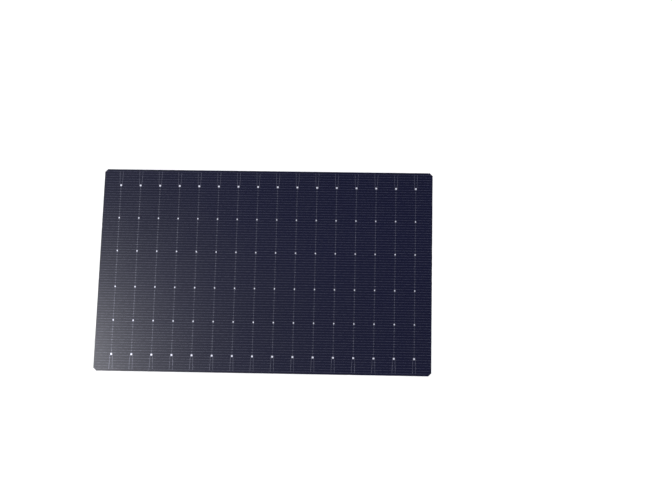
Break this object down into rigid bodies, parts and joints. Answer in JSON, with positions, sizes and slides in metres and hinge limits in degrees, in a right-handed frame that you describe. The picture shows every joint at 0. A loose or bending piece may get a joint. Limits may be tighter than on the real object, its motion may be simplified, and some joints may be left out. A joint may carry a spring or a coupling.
{
  "type": "half-format multi-busbar silicon solar cell",
  "caption": "Thin bare crystalline silicon solar cell of half-wafer format with fine silver fingers, busbars, forked line ends and solder pads printed on both faces.",
  "frame": {"origin": "centre of the wafer's outline, at the level of the undersides of the rear pads and busbars, on which it lies", "axes": "+X along the long edges and the fingers, +Y along the busbars, +Z out of the sunny face; the part is the same turned half round about Z"},
  "size_m": [0.182, 0.1132, 0.0002],
  "materials": {
    "silicon": "satin",
    "front_film": "satin",
    "rear_film": "satin",
    "fine_line_silver": "matte",
    "pad_silver": "matte"
  },
  "bodies": {
    "root": {"silicon_wafer": "silicon", "front_antireflection_film": "front_film", "rear_passivation_film": "rear_film", "front_fingers": "fine_line_silver", "front_busbar_01": "fine_line_silver", "front_busbar_02": "fine_line_silver", "front_busbar_03": "fine_line_silver", "front_busbar_04": "fine_line_silver", "front_busbar_05": "fine_line_silver", "front_busbar_06": "fine_line_silver", "front_busbar_07": "fine_line_silver", "front_busbar_08": "fine_line_silver", "front_busbar_09": "fine_line_silver", "front_busbar_10": "fine_line_silver", "front_busbar_11": "fine_line_silver", "front_busbar_12": "fine_line_silver", "front_busbar_13": "fine_line_silver", "front_busbar_14": "fine_line_silver", "front_busbar_15": "fine_line_silver", "front_busbar_16": "fine_line_silver", "front_forks_far_edge": "fine_line_silver", "front_forks_near_edge": "fine_line_silver", "front_pad_row_1": "pad_silver", "front_pad_row_2": "pad_silver", "front_pad_row_3": "pad_silver", "front_pad_row_4": "pad_silver", "front_pad_row_5": "pad_silver", "front_pad_row_6": "pad_silver", "rear_fingers": "fine_line_silver", "rear_busbar_01": "fine_line_silver", "rear_busbar_02": "fine_line_silver", "rear_busbar_03": "fine_line_silver", "rear_busbar_04": "fine_line_silver", "rear_busbar_05": "fine_line_silver", "rear_busbar_06": "fine_line_silver", "rear_busbar_07": "fine_line_silver", "rear_busbar_08": "fine_line_silver", "rear_busbar_09": "fine_line_silver", "rear_busbar_10": "fine_line_silver", "rear_busbar_11": "fine_line_silver", "rear_busbar_12": "fine_line_silver", "rear_busbar_13": "fine_line_silver", "rear_busbar_14": "fine_line_silver", "rear_busbar_15": "fine_line_silver", "rear_busbar_16": "fine_line_silver", "rear_forks_far_edge": "fine_line_silver", "rear_forks_near_edge": "fine_line_silver", "rear_pad_row_1": "pad_silver", "rear_pad_row_2": "pad_silver", "rear_pad_row_3": "pad_silver", "rear_pad_row_4": "pad_silver", "rear_pad_row_5": "pad_silver", "rear_pad_row_6": "pad_silver"}
  },
  "joints": []
}
